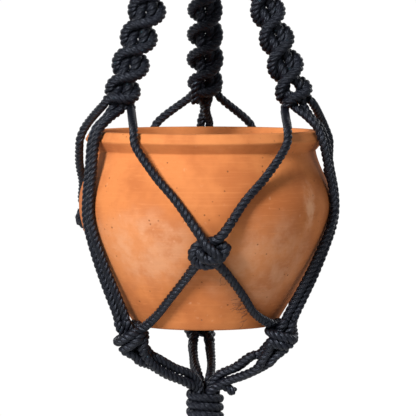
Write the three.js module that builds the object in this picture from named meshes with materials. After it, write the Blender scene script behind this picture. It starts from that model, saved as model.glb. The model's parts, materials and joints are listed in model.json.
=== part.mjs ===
// A macrame plant hanger with a terracotta pot in it, in millimetres, +Z up.
// The origin is the point inside the top of the hanging ring that a hook bears on.
// Twelve legs of rope run down from the ring: they are wrapped together, knotted into three arms of
// four, spread into a net of cords around the pot, and are gathered and wrapped again under it.
import * as THREE from "three";

// ---- Driving dimensions ----

const ropeDiameter = 7.5;
const cordClearance = 0.4; // between two cords that lie side by side
const sideClearance = 1.8; // between the two cords of a slanting pair
const seamGap = 0.4; // between two stretches of rope that meet end to end

const ring = { opening: 50, wire: 6 };
const fold = { count: 3, drop: 32, clearance: 2 }; // pairs of cords folded over the ring's lower wire
const wrap = { radius: 16.5, ridge: 1.6, crown: 7 };
const topWrapLength = 38;
const bottomWrapLength = 45;
const rimDrop = 245; // from the top wrap down to the pot's rim
const cradleDrop = 56; // from the pot's foot down to the bottom wrap

const pot = {
  height: 167,
  footRadius: 61.4,
  footRound: 2.5,
  bellyRadius: 108.6,
  bellyHeight: 104,
  neckRadius: 95.2,
  lipHeight: 17, // the whole lip, from the neck up to the rim
  lipRadius: 103,
  lipBevel: 7.5, // the part of the lip above its widest line
  rimRadius: 99.5,
  rimRound: 1.5,
  wall: 7.5,
  floor: 9,
  drainRadius: 10,
};

// Between a cord and the pot that it lies on: straight stretches of cord need more on a rounder belly.
const restClearance = 0.5 + 0.06 * (pot.bellyRadius - pot.neckRadius);

// Each arm's direction, the way its flat sinnet faces, where that ends above the rim, its knots' pitch,
// where its side cords lie on the belly and reach the lower knot, and how far that knot is turned.
const arms = [
  { name: "left", azimuth: 209, facing: 262, end: 21.5, pitch: 24.2, belly: 209, lower: 211, roll: -42 },
  { name: "right", azimuth: 340, facing: 280, end: 23, pitch: 24.2, belly: 350, lower: 330, roll: 42 },
  { name: "back", azimuth: 90, facing: 90, end: 28, pitch: 22.9, belly: 90, lower: 91, roll: 0 },
];
// An arm is knotted as far up as whole knots fit, and its top is plain legs, at least this long.
const arm = { topRadius: 9, topGap: 2.8, endRadius: 84, legs: 12, width: 31, depth: 16, neck: 0.66 };

// Each crossing knot ties a cord of one arm to a cord of the next.
const crossings = [
  { name: "front", from: "left", to: "right", azimuth: 272, height: 70 },
  { name: "back_right", from: "right", to: "back", azimuth: 395, height: 74 },
  { name: "back_left", from: "back", to: "left", azimuth: 150, height: 87 },
];
const crossingKnot = { width: 33, height: 24, depth: 14 };
const lowerKnot = { width: 30, height: 27, depth: 17, radius: 72, drop: 9.5, lean: 35 };

const cordSides = 8;
const cordStep = 16; // length of one straight stretch of a cord's tube
const foldStep = 7.5; // the same round the ring, where the bend is tight

// ---- Levels ----

const ropeRadius = ropeDiameter / 2;
const sideBySide = ropeDiameter + cordClearance;
const barZ = -ring.opening - ring.wire / 2;
const topWrapTop = barZ - fold.drop;
const topWrapBottom = topWrapTop - topWrapLength;
const rimZ = topWrapBottom - rimDrop;
const footZ = rimZ - pot.height;
const bottomWrapTop = footZ - cradleDrop;
const bottomWrapBottom = bottomWrapTop - bottomWrapLength;

// ---- Materials and small helpers ----

const finish = (color, roughness, metalness = 0) => () =>
  new THREE.MeshStandardMaterial({ color, roughness, metalness });
const ropeFinish = finish(0x26262e, 0.65);
const wrapFinish = finish(0x2b2b34, 0.65);
const terracotta = finish(0xc97c4b, 0.85);
const steel = finish(0xb9bbbe, 0.3, 1);

const planter = new THREE.Group();

function add(name, geometry, material) {
  const mesh = new THREE.Mesh(geometry, material());
  mesh.name = name;
  planter.add(mesh);
  return mesh;
}

const radians = THREE.MathUtils.degToRad;
const mix = THREE.MathUtils.lerp;
const outward = (azimuth) =>
  new THREE.Vector3(Math.cos(radians(azimuth)), Math.sin(radians(azimuth)), 0);
const sideways = (azimuth) => outward(azimuth + 90);

// A point at an azimuth and radius, with its height counted from the pot's foot.
const at = (azimuth, radius, height) =>
  outward(azimuth).multiplyScalar(radius).setZ(footZ + height);

// A closed solid of revolution from a profile of [radius, height] pairs.
function turned(profile, segments) {
  const points = profile.map(([radius, height]) => new THREE.Vector2(Math.max(radius, 0), height));
  return new THREE.LatheGeometry(points, segments).rotateX(Math.PI / 2);
}

// The outline of one round cord, or of two that are pressed together in a row.
function cordSection(pair = false) {
  const apart = pair ? ropeRadius * 0.98 : 0;
  const corners = pair ? cordSides + 2 : cordSides;
  const points = [];
  for (let corner = 0; corner < corners; corner += 1) {
    const upper = corner <= cordSides / 2;
    const angle = ((corner - (pair && !upper ? 1 : 0)) * 2 * Math.PI) / cordSides;
    const centre = upper ? apart : -apart;
    points.push(
      new THREE.Vector2(ropeRadius * Math.cos(angle), centre + ropeRadius * Math.sin(angle)),
    );
  }
  return new THREE.Shape(points);
}

// A cord along the smooth curve through some points.
function cord(points, { pair = false, step = cordStep } = {}) {
  const path = new THREE.CatmullRomCurve3(points, false, "centripetal");
  const steps = Math.max(3, Math.ceil(path.getLength() / step));
  return new THREE.ExtrudeGeometry(cordSection(pair), { steps, extrudePath: path });
}

// A knot's plain lump, with its own sideways, outward and upward directions.
function lump(name, { width, depth, height }, centre, axes) {
  const mesh = add(name, new THREE.SphereGeometry(1, 12, 8), ropeFinish);
  mesh.geometry.scale(depth / 2, width / 2, height / 2);
  mesh.position.copy(centre);
  mesh.quaternion.setFromRotationMatrix(
    new THREE.Matrix4().makeBasis(axes.out, axes.side, axes.up),
  );
}

// ---- Pot ----

const lipStart = pot.height - pot.lipHeight;
const lipWidest = pot.height - pot.lipBevel;

// The outside of the pot from its foot to its rim.
function potOutline() {
  const path = new THREE.Path();
  const bellyHalf = (pot.bellyHeight - pot.footRound) / 2;
  path.moveTo(pot.footRadius - pot.footRound, 0);
  path.quadraticCurveTo(pot.footRadius, 0, pot.footRadius + 1, pot.footRound);
  path.bezierCurveTo(
    pot.footRadius + (pot.bellyRadius - pot.footRadius) * 0.58,
    bellyHalf * 0.9,
    pot.bellyRadius,
    pot.bellyHeight - bellyHalf / 2,
    pot.bellyRadius,
    pot.bellyHeight,
  );
  const shoulder = lipStart - pot.bellyHeight;
  path.bezierCurveTo(
    pot.bellyRadius,
    pot.bellyHeight + shoulder * 0.4,
    pot.neckRadius + 2,
    pot.bellyHeight + shoulder * 0.7,
    pot.neckRadius,
    lipStart,
  );
  path.lineTo(pot.neckRadius + 0.5, lipStart + 1);
  path.lineTo(pot.lipRadius, lipWidest);
  path.lineTo(pot.rimRadius, pot.height - pot.rimRound);
  path.lineTo(pot.rimRadius - pot.rimRound, pot.height);
  return path.getPoints(5);
}

// The inside follows the outside at the wall's thickness, down to the floor and the drain hole.
function potInside(outline) {
  const inside = outline
    .filter((p) => p.y > pot.floor + pot.wall && p.y < lipStart + 1)
    .map((p) => new THREE.Vector2(p.x - pot.wall, p.y));
  inside.reverse();
  const mouth = pot.neckRadius - pot.wall + 3;
  const lowest = inside[inside.length - 1];
  return [
    new THREE.Vector2(mouth + 1, pot.height),
    new THREE.Vector2(mouth, pot.height - pot.rimRound),
    ...inside,
    new THREE.Vector2(lowest.x - pot.wall * 1.2, pot.floor + 2),
    new THREE.Vector2(lowest.x - pot.wall * 1.7, pot.floor),
    new THREE.Vector2(pot.drainRadius, pot.floor),
    new THREE.Vector2(pot.drainRadius, 0),
  ];
}

const outline = potOutline();
const potProfile = [...outline, ...potInside(outline)];
potProfile.push(potProfile[0].clone());
const potMesh = add("pot", turned(potProfile.map((p) => [p.x, p.y]), 44), terracotta);
potMesh.position.z = footZ;

// The radius at which a taut cord crosses a height: it bridges the neck from the lip to the belly.
function bridgedRadius(height) {
  let radius = 0;
  for (const low of outline)
    for (const high of outline)
      if (low.y <= height && high.y >= height && high.y > low.y) {
        const share = (height - low.y) / (high.y - low.y);
        radius = Math.max(radius, low.x + (high.x - low.x) * share);
      }
  return radius;
}

// The outward direction of the pot's side at a height, as radius and height parts.
function sideNormal(height) {
  const probe = 2;
  const slope = (bridgedRadius(height + probe) - bridgedRadius(height - probe)) / (2 * probe);
  return new THREE.Vector2(1, -slope).normalize();
}

// The middle of a cord that lies on the pot, or is lifted off it.
function resting(azimuth, height, lift = 0) {
  const normal = sideNormal(height);
  const away = ropeRadius + restClearance + lift;
  return at(azimuth, bridgedRadius(height) + normal.x * away, height + normal.y * away);
}

// Over the lip: outside the rim's edge, and outside the lip's widest line.
const lipAway = ropeRadius + restClearance;
const overRim = (azimuth) =>
  at(azimuth, pot.rimRadius + lipAway * 0.8, pot.height + lipAway * 0.75);
const overLip = (azimuth) => at(azimuth, pot.lipRadius + lipAway, lipWidest);

// ---- Hanging ring and the cords folded over it ----

const ringMesh = add(
  "hanging_ring",
  new THREE.TorusGeometry((ring.opening + ring.wire) / 2, ring.wire / 2, 8, 40),
  steel,
);
ringMesh.rotation.x = Math.PI / 2;
ringMesh.position.z = -ring.opening / 2;

// Each fold is two cords, one over the other, bent round the ring's lower wire.
const foldRadius = ring.wire / 2 + fold.clearance + ropeDiameter;
["left", "centre", "right"].forEach((side, index) => {
  const x = (index - (fold.count - 1) / 2) * sideBySide;
  const turnPoints = [0, 30, 60, 90, 120, 150, 180].map(
    (angle) =>
      new THREE.Vector3(
        x,
        -foldRadius * Math.cos(radians(angle)),
        barZ + foldRadius * Math.sin(radians(angle)),
      ),
  );
  const leg = (way, inwards, above) =>
    new THREE.Vector3(x, way * mix(foldRadius, sideBySide, inwards), topWrapTop + above);
  const feet = (way) => [leg(way, 1, seamGap), leg(way, 1, seamGap + ropeRadius)];
  const knee = (way) => leg(way, 0.3, fold.drop * 0.6);
  const points = [...feet(-1), knee(-1), ...turnPoints, knee(1), ...feet(1).reverse()];
  add("fold_" + side, cord(points, { pair: true, step: foldStep }), ropeFinish);
});

// ---- Wraps ----

// A wrap is a close helix of cord, drawn as one ridge for each turn. The crown is where the cords
// that it binds come together above it.
function wrapSolid(length, crown = 0) {
  const turns = Math.round(length / ropeDiameter);
  const pitch = length / turns;
  const profile = [
    [0, 0],
    [wrap.radius - wrap.ridge, 0],
  ];
  for (let turn = 0; turn < turns; turn += 1) {
    profile.push([wrap.radius, (turn + 0.25) * pitch], [wrap.radius, (turn + 0.75) * pitch]);
    profile.push([wrap.radius - wrap.ridge, (turn + 1) * pitch]);
  }
  profile.push([wrap.radius / 2, length + crown], [0, length + crown]);
  return turned(profile, 20);
}

add("top_wrap", wrapSolid(topWrapLength), wrapFinish).position.z = topWrapBottom;
add("bottom_wrap", wrapSolid(bottomWrapLength, wrap.crown), wrapFinish).position.z = bottomWrapBottom;

// ---- Arms: sinnets of square knots ----

function armLine({ azimuth, facing, end }) {
  const start = outward(azimuth).multiplyScalar(arm.topRadius).setZ(topWrapBottom - arm.topGap);
  const finishPoint = at(azimuth, arm.endRadius, pot.height + end);
  const along = finishPoint.clone().sub(start).normalize();
  const side = sideways(facing);
  side.addScaledVector(along, -side.dot(along)).normalize();
  return { start, finishPoint, along, side };
}

for (const each of arms) {
  const { start, finishPoint, along, side } = armLine(each);
  const length = start.distanceTo(finishPoint);
  const { pitch } = each;
  const knots = Math.floor((length - arm.legs) / pitch);
  const profile = [
    [0, 0],
    [0.42, 0],
  ];
  for (let knot = knots; knot > 0; knot -= 1) {
    const middle = length - (knot - 0.5) * pitch;
    profile.push([arm.neck, middle - pitch / 2], [0.96, middle - pitch / 5]);
    profile.push([1, middle], [0.96, middle + pitch / 5]);
  }
  profile.push([0.8, length], [0, length]);
  const mesh = add("arm_" + each.name, turned(profile, 12), ropeFinish);
  mesh.geometry.scale(arm.width / 2, arm.depth / 2, 1);
  const out = new THREE.Vector3().crossVectors(along, side);
  mesh.position.copy(start);
  mesh.quaternion.setFromRotationMatrix(new THREE.Matrix4().makeBasis(side, out, along));
}

// Where a cord leaves the end of an arm, straight on at first: places count across the arm.
function armExit(each, place) {
  const { finishPoint, along, side } = armLine(each);
  return [seamGap, ropeRadius].map((distance) =>
    finishPoint
      .clone()
      .addScaledVector(along, distance)
      .addScaledVector(side, place * sideBySide),
  );
}

// ---- Net around the pot ----

const armNamed = (name) => arms.find((each) => each.name === name);

// The knots' own directions: along the pot's side for a crossing knot, leaning inwards for a lower knot.
function crossingAxes({ azimuth, height }) {
  const normal = sideNormal(height);
  const out = outward(azimuth).multiplyScalar(normal.x).setZ(normal.y);
  const side = sideways(azimuth);
  return { side, out, up: new THREE.Vector3().crossVectors(out, side) };
}

function lowerAxes({ lower, roll }) {
  const lean = radians(lowerKnot.lean);
  const up = outward(lower).multiplyScalar(Math.sin(lean)).setZ(Math.cos(lean));
  const side = sideways(lower).applyAxisAngle(up, radians(-roll));
  return { side, out: new THREE.Vector3().crossVectors(side, up), up };
}

const crossingCentre = ({ azimuth, height }) =>
  resting(azimuth, height, crossingKnot.depth / 2 - ropeRadius);
const lowerCentre = ({ lower }) => at(lower, lowerKnot.radius, -lowerKnot.drop);

// A point just off a knot's surface, in the direction of its own sideways and upward axes.
function knotExit(size, centre, axes, angle, out = 0) {
  const off = 1.2;
  return centre
    .clone()
    .addScaledVector(axes.side, (off * size.width * Math.cos(radians(angle))) / 2)
    .addScaledVector(axes.up, (off * size.height * Math.sin(radians(angle))) / 2)
    .addScaledVector(axes.out, out);
}

for (const knot of crossings) {
  lump(knot.name + "_crossing_knot", crossingKnot, crossingCentre(knot), crossingAxes(knot));
}
for (const each of arms) {
  lump(each.name + "_lower_knot", lowerKnot, lowerCentre(each), lowerAxes(each));
}

// A diagonal cord's course from the rim down to a crossing knot: how far round, and how high.
const upperCourse = [
  [0.495, 150],
  [0.63, 131],
  [0.78, 111],
  [0.92, 92],
];
// From a crossing knot down to a lower knot.
const lowerCourse = [
  [0.12, 54],
  [0.35, 31],
  [0.6, 14],
];
const courseKnotHeight = 70;

// way is 1 for the cord on the arm's side of rising azimuth, and -1 for the other.
function upperDiagonal(each, knot, way) {
  const round = (share) => mix(each.azimuth, knot.azimuth, share);
  const rescaled = (height) =>
    lipWidest + ((height - lipWidest) * (lipWidest - knot.height)) / (lipWidest - courseKnotHeight);
  return [
    ...armExit(each, way * 1.5),
    overRim(round(0.41)),
    overLip(round(0.445)),
    ...upperCourse.map(([share, height]) => resting(round(share), rescaled(height))),
    knotExit(crossingKnot, crossingCentre(knot), crossingAxes(knot), way > 0 ? 115 : 65),
  ];
}

function lowerDiagonal(each, knot, way) {
  const round = (share) => mix(knot.azimuth, each.lower, share);
  const rescaled = (height) => (height * knot.height) / courseKnotHeight;
  return [
    knotExit(crossingKnot, crossingCentre(knot), crossingAxes(knot), way > 0 ? 230 : 306),
    ...lowerCourse.map(([share, height]) => resting(round(share), rescaled(height))),
    knotExit(lowerKnot, lowerCentre(each), lowerAxes(each), way > 0 ? 42 : 138, -2),
  ];
}

// The same direction, counted within half a turn of another.
const near = (azimuth, target) => azimuth - 360 * Math.round((azimuth - target) / 360);

for (const knot of crossings) {
  for (const [armName, way] of [
    [knot.from, 1],
    [knot.to, -1],
  ]) {
    const each = armNamed(armName);
    const above = { ...each, azimuth: near(each.azimuth, knot.azimuth) };
    const below = { ...each, lower: near(each.lower, knot.azimuth) };
    add(armName + "_to_" + knot.name + "_cord", cord(upperDiagonal(above, knot, way)), ropeFinish);
    add(knot.name + "_to_" + armName + "_cord", cord(lowerDiagonal(below, knot, way)), ropeFinish);
  }
}

// The pair of cords that runs straight down the pot's side, from an arm to its lower knot. Below the
// belly the pair is free of the pot, and turns so that one cord lies outside the other.
const sideCourse = [
  { height: 135, share: 0.45, roll: 0 },
  { height: 112, share: 0.9, roll: 0 },
  { height: 98, share: 1, roll: 0 },
  { height: 84, share: 0.8, roll: 0.1, lift: 0.8 },
  { height: 50, share: 0.45, roll: 0.55, lift: 4 },
  { height: 17, share: 0.1, roll: 1, lift: 9 },
];

function sideCord(each, way) {
  const half = (way * (ropeDiameter + sideClearance)) / 2;
  const azimuthAt = ({ height, share }) =>
    height > sideCourse[2].height
      ? mix(each.azimuth, each.belly, share)
      : mix(each.lower, each.belly, share);
  const spread = (azimuth, roll) =>
    sideways(azimuth)
      .multiplyScalar(Math.cos(radians(roll)) * half)
      .addScaledVector(outward(azimuth), Math.sin(radians(roll)) * half);
  const axes = lowerAxes(each);
  return [
    ...armExit(each, way / 2),
    overRim(each.azimuth).add(spread(each.azimuth, 0)),
    overLip(each.azimuth).add(spread(each.azimuth, 0)),
    ...sideCourse.map((row) =>
      resting(azimuthAt(row), row.height, row.lift ?? 0).add(
        spread(azimuthAt(row), row.roll * each.roll),
      ),
    ),
    knotExit(lowerKnot, lowerCentre(each), axes, 90).addScaledVector(axes.side, half),
  ];
}

// Four cords leave each lower knot, two over two, for the wrap under the pot.
const cradleCourse = [
  { radius: 50, height: -30.5 },
  { radius: 34, height: -39.5 },
  { radius: 17, height: -46.5 },
];

function cradleCord(each, across, over) {
  const axes = lowerAxes(each);
  const half = (ropeDiameter + sideClearance) / 2;
  const slope = radians(90 - 30);
  const offset = (up) =>
    sideways(each.lower)
      .multiplyScalar(across * half)
      .addScaledVector(outward(each.lower), over * half * Math.cos(up))
      .add(new THREE.Vector3(0, 0, -over * half * Math.sin(up)));
  const exit = (off) =>
    lowerCentre(each)
      .addScaledVector(axes.up, -off)
      .addScaledVector(axes.side, across * half)
      .addScaledVector(axes.out, over * half);
  return [
    exit(lowerKnot.height * 0.58),
    exit(lowerKnot.height * 0.58 + ropeRadius),
    ...cradleCourse.map(({ radius, height }) => at(each.lower, radius, height).add(offset(slope))),
  ];
}

for (const each of arms) {
  add(each.name + "_side_cord_1", cord(sideCord(each, -1)), ropeFinish);
  add(each.name + "_side_cord_2", cord(sideCord(each, 1)), ropeFinish);
  [
    [-1, 1],
    [1, 1],
    [-1, -1],
    [1, -1],
  ].forEach(([across, over], index) =>
    add(each.name + "_cradle_cord_" + (index + 1), cord(cradleCord(each, across, over)), ropeFinish),
  );
}

// ---- Tassel ----

// The twelve legs hang free below the bottom wrap: where each starts, how far it spreads and drifts
// round on its way down, and its length.
const tails = [
  { azimuth: 30, radius: 4.4, spread: 2, drift: 10, length: 124 },
  { azimuth: 150, radius: 4.4, spread: 3, drift: 12, length: 130 },
  { azimuth: 270, radius: 4.4, spread: 2.5, drift: 8, length: 127 },
  { azimuth: 10, radius: 12.3, spread: 8, drift: 10, length: 121 },
  { azimuth: 50, radius: 12.3, spread: 11, drift: 12, length: 132 },
  { azimuth: 90, radius: 12.3, spread: 8.5, drift: 14, length: 126 },
  { azimuth: 130, radius: 12.3, spread: 10, drift: 12, length: 118 },
  { azimuth: 170, radius: 12.3, spread: 9, drift: 10, length: 129 },
  { azimuth: 210, radius: 12.3, spread: 12, drift: 8, length: 123 },
  { azimuth: 250, radius: 12.3, spread: 9, drift: 7, length: 131 },
  { azimuth: 290, radius: 12.3, spread: 10.5, drift: 9, length: 125 },
  { azimuth: 330, radius: 12.3, spread: 8, drift: 11, length: 128 },
];

tails.forEach(({ azimuth, radius, spread, drift, length }, index) => {
  const points = [0, 0.12, 0.3, 0.5, 0.75, 1].map((share) =>
    outward(azimuth + drift * share * share)
      .multiplyScalar(radius + spread * Math.sin((share * Math.PI) / 2) ** 2)
      .setZ(bottomWrapBottom - seamGap - length * share),
  );
  add("tassel_cord_" + (index + 1), cord(points), ropeFinish);
});

export default planter;
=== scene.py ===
"""A macrame plant hanger with a terracotta pot in it, in metres, +Z up.

Twelve legs of three-strand rope hang from a steel ring. They are wrapped together, worked into three
arms, spread into a net around the pot, and gathered and wrapped again above a tassel.
"""

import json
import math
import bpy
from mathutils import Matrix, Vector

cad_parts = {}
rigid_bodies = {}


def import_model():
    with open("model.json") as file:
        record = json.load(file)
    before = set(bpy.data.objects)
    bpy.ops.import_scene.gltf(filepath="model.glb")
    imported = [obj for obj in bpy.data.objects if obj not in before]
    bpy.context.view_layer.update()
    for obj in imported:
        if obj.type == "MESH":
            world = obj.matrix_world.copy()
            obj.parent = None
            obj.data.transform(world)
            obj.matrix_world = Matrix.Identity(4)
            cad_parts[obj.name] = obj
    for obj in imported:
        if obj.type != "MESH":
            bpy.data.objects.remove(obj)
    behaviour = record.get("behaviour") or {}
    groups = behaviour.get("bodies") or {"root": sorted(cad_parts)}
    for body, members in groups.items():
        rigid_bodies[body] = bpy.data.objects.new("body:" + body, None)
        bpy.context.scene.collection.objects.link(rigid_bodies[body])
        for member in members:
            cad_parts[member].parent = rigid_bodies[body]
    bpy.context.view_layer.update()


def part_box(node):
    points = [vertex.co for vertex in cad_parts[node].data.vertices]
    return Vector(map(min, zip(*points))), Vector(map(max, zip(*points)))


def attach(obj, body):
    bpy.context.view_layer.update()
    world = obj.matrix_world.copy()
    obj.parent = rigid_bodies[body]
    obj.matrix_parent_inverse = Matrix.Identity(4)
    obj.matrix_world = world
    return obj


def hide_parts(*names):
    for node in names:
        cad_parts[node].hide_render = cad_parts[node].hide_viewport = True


bl_info = {
    "name": "Hanging macrame planter",
    "version": (1, 0, 0),
    "blender": (4, 5, 0),
    "location": "3D Viewport > Sidebar > Planter",
    "description": "Makes a knotted rope plant hanger and its terracotta pot",
    "category": "Add Mesh",
}

import bmesh
import bpy
import numpy as np
from bpy.props import FloatProperty, FloatVectorProperty, IntProperty, PointerProperty
from mathutils import Vector, noise

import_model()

# ---- Levels and sizes that come from the frame ----

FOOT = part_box("pot")[0].z
POT_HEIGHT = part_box("pot")[1].z - FOOT
TOP_WRAP_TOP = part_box("top_wrap")[1].z
TOP_WRAP_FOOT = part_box("top_wrap")[0].z
WRAP_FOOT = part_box("bottom_wrap")[0].z
BOTTOM_WRAP_TOP = FOOT - 0.056
WRAP_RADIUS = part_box("top_wrap")[1].x
RING_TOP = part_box("hanging_ring")[1].z
RING_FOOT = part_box("hanging_ring")[0].z
WIRE_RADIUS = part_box("hanging_ring")[1].y

# ---- Rope ----

ROPE = 0.0075  # diameter of a cord
ROPE_RADIUS = ROPE / 2
LAY = 0.0147  # length in which a strand goes once round the cord
STRANDS = 3
STRAND_RADIUS = 0.00203
STRAND_OFFSET = 0.00184  # from the cord's middle to a strand's
STRAND_SLACK = 0.05  # how unevenly a strand lies, as a share of its offset
END_TAPER = 0.8  # how thin a strand is at its very ends
FLARE_LENGTH = 0.009  # over which the strands of a cut end open
PATH_STEP = 0.00105
REST_CLEARANCE = 0.0006  # between the pot and a cord that lies on it
CORD_AWAY = ROPE_RADIUS + REST_CLEARANCE  # from the pot to the middle of such a cord
RIM_OUT, RIM_UP = 0.8, 0.75  # shares of that by which a cord clears the rim's corner
SIDE_BY_SIDE = 0.0079  # between the middles of cords that lie together
SEAM_GAP = 0.0004  # from a knot or a wrap to the start of the cords below it
FILAMENT_RADIUS = 0.00011
FILAMENT_STEP = 0.0006

# ---- Pot, with its heights counted from the foot ----

FOOT_RADIUS = 0.0614
FOOT_ROUND = 0.0025
BELLY_RADIUS = 0.1086
BELLY_HEIGHT = 0.104
BELLY_SLOPE = 0.58  # how far out the side leans at first, as a share of the way to the belly
NECK_RADIUS = 0.0952
LIP_HEIGHT = 0.017
LIP_RADIUS = 0.103
LIP_BEVEL = 0.0075
RIM_RADIUS = 0.0995
RIM_ROUND = 0.0015
WALL = 0.0075
FLOOR = 0.009
DRAIN_RADIUS = 0.010
LIP_START = POT_HEIGHT - LIP_HEIGHT
LIP_WIDEST = POT_HEIGHT - LIP_BEVEL

# ---- Hanger ----

# Each arm's direction, the way its flat side faces, where it ends above the rim and its knots' pitch;
# how wide its knots are, how much narrower they get, and how far the last one is pulled open;
# how far its side cords are turned one over the other below it, where they lie on the belly and reach
# the lower knot, and how far that knot is turned and squeezed, and which of its cords is tucked under.
ARMS = {
    "left": dict(
        azimuth=209, facing=262, end=0.0215, pitch=0.0242, girth=1.04, taper=0.45, open=0, stack=0,
        belly=209, lower=211, roll=-42, squeeze=1, tuck=-1,
    ),
    "right": dict(
        azimuth=340, facing=280, end=0.023, pitch=0.0242, girth=0.93, taper=0.05, open=0.0026, stack=0,
        belly=350, lower=330, roll=42, squeeze=0.85, tuck=0,
    ),
    "back": dict(
        azimuth=90, facing=90, end=0.028, pitch=0.0229, girth=0.96, taper=0.05, open=0, stack=76,
        belly=90, lower=93, roll=0, squeeze=1, tuck=0,
    ),
}
ARM_TOP_RADIUS = 0.009
ARM_TOP_GAP = 0.0028  # from the top wrap down to the arms' start
ARM_END_RADIUS = 0.084
ARM_LEGS = 0.012  # least length of plain legs above the knots
TAPER_FROM = 0.65  # share of an arm's length below which its knots get narrower

CROSSINGS = {
    "front": dict(start="left", stop="right", azimuth=272, height=0.070),
    "back_right": dict(start="right", stop="back", azimuth=395, height=0.074),
    "back_left": dict(start="back", stop="left", azimuth=150, height=0.087),
}
CROSSING_DEPTH = 0.014
CROSSING_RISE = 0.003  # of the knotted cords above the knot's middle
LOWER_HEIGHT = 0.027
LOWER_RADIUS = 0.072
LOWER_DROP = 0.0095
LOWER_LEAN = 35  # degrees by which the knot leans outwards
ARM_SWELL = 1.17  # how much a cord flattens and widens where it is knotted
KNOT_SWELL = 1.14

# How far round and how high a diagonal cord runs, above and below its crossing knot.
UPPER_COURSE = [(0.495, 0.150), (0.63, 0.131), (0.78, 0.111)]
LOWER_COURSE = [(0.21, 0.047), (0.37, 0.031), (0.56, 0.0165)]
COURSE_KNOT_HEIGHT = 0.070  # the height of the crossing knot that these heights suit

# The pair of cords down the pot's side: height, share of the way to the belly, roll and lift.
SIDE_COURSE = [
    (0.135, 0.45, 0, 0),
    (0.112, 0.9, 0, 0),
    (0.098, 1, 0, 0),
    (0.084, 0.8, 0.1, 0.0008),
    (0.050, 0.45, 0.55, 0.004),
    (0.017, 0.1, 1, 0.009),
]
PAIR_APART = 0.0075  # between the two cords of the pair

# Radius and height of the cords between a lower knot and the bottom wrap, and on into the wrap.
CRADLE_COURSE = [(0.050, -0.0305), (0.034, -0.0395), (0.017, -0.0465)]
CRADLE_END = [(0.0095, -0.0530), (0.0074, -0.062), (0.0070, -0.074), (0.0070, -0.090), (0.0070, -0.098)]

# The cords of a crossing knot in its own sideways, outward and upward axes.
SWEEPING_CORD = [
    (-0.0064, 0.0010, 0.0137),
    (-0.0015, 0.0070, 0.0086),
    (0.0040, 0.0094, 0.0040),
    (0.0068, 0.0090, -0.0006),
    (0.0016, 0.0088, -0.0024),
    (-0.0048, 0.0084, -0.0014),
    (-0.0074, 0.0070, 0.0024),
    (-0.0056, 0.0020, 0.0028),
    (-0.0054, -0.0025, -0.0022),
    (-0.0084, -0.0025, -0.0090),
    (-0.0118, -0.0010, -0.0134),
]
LOOPING_CORD = [
    (0.0094, 0.0000, 0.0148),
    (0.0036, -0.0010, 0.0104),
    (-0.0042, 0.0000, 0.0090),
    (-0.0112, 0.0030, 0.0066),
    (-0.0142, 0.0040, 0.0000),
    (-0.0108, 0.0044, -0.0070),
    (-0.0030, 0.0050, -0.0094),
    (0.0050, 0.0054, -0.0066),
    (0.0104, 0.0050, -0.0006),
    (0.0138, 0.0020, 0.0056),
    (0.0090, -0.0022, 0.0056),
    (0.0030, -0.0025, 0.0000),
    (0.0038, -0.0025, -0.0070),
    (0.0080, -0.0010, -0.0126),
]
# The two cords that are wound round the middle pair of a lower knot.
WINDING_CORD = [
    (0.0132, 0.0020, 0.0062),
    (0.0074, 0.0084, 0.0078),
    (0.0004, 0.0096, 0.0078),
    (-0.0094, 0.0060, 0.0054),
    (-0.0122, -0.0010, 0.0032),
    (-0.0070, -0.0080, 0.0012),
    (0.0010, -0.0092, -0.0004),
    (0.0094, -0.0052, -0.0014),
    (0.0106, 0.0024, -0.0034),
    (0.0062, 0.0058, -0.0088),
]
UNDER_CORD = [
    (-0.0094, -0.0050, 0.0088),
    (-0.0036, -0.0090, 0.0104),
    (0.0030, -0.0094, 0.0086),
    (0.0096, -0.0052, 0.0064),
    (0.0122, 0.0010, 0.0040),
    (0.0076, 0.0084, 0.0014),
    (-0.0008, 0.0098, -0.0006),
    (-0.0092, 0.0068, -0.0026),
    (-0.0064, 0.0060, -0.0086),
]
# The side cords, which go straight down inside a lower knot.
MIDDLE_CORD = [
    (PAIR_APART / 2, 0.0000, LOWER_HEIGHT * 0.6),
    (0.0040, 0.0000, 0.0060),
    (0.0038, -0.0010, -0.0040),
]
TUCKED_START = (0.0030, -0.0100, 0.0140)  # where a winding cord comes in if it passes behind the knot
# How far the cords below a lower knot lie to each side and above one another, from the knot down.
CRADLE_APART = {
    "left": [(0.0039, 0.0038)] * 3,
    "right": [(0.0039, 0.0060), (0.0039, 0.0046), (0.0039, 0.0038)],
    "back": [(0.0076, 0.0038), (0.0074, 0.0038), (0.0056, 0.0038)],
}
CRADLE_END_APART = (0.0034, 0.0038)  # the same inside the wrap

# The free tassel cords: azimuth, radius, spread and drift on the way down, and length.
TAILS = [
    (30, 0.0044, 0.002, 10, 0.124),
    (150, 0.0044, 0.003, 12, 0.130),
    (270, 0.0044, 0.0025, 8, 0.127),
    (10, 0.0123, 0.008, 10, 0.121),
    (50, 0.0123, 0.011, 12, 0.132),
    (90, 0.0123, 0.0085, 14, 0.126),
    (130, 0.0123, 0.010, 12, 0.118),
    (170, 0.0123, 0.009, 10, 0.129),
    (210, 0.0123, 0.012, 8, 0.123),
    (250, 0.0123, 0.009, 7, 0.131),
    (290, 0.0123, 0.0105, 9, 0.125),
    (330, 0.0123, 0.008, 11, 0.128),
]
TAIL_SHARES = [0, 0.12, 0.3, 0.5, 0.75, 1]  # of its length, where a tassel cord's path has its points

# The short stub below the back arm: places down the arm, to its side and out of it.
STUB = [
    (-0.020, 0.0060, -0.0040),
    (-0.010, 0.0085, -0.0080),
    (0.0005, 0.0088, -0.0085),
    (0.0040, 0.0086, -0.0085),
]
# The cut end on the bottom wrap: x, y and height above the wrap's top.
CUT_END = [
    (0.0020, -0.011, -0.0030),
    (0.0120, -0.012, 0.0035),
    (0.0185, -0.011, 0.0020),
    (0.0250, -0.010, -0.0025),
]

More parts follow.
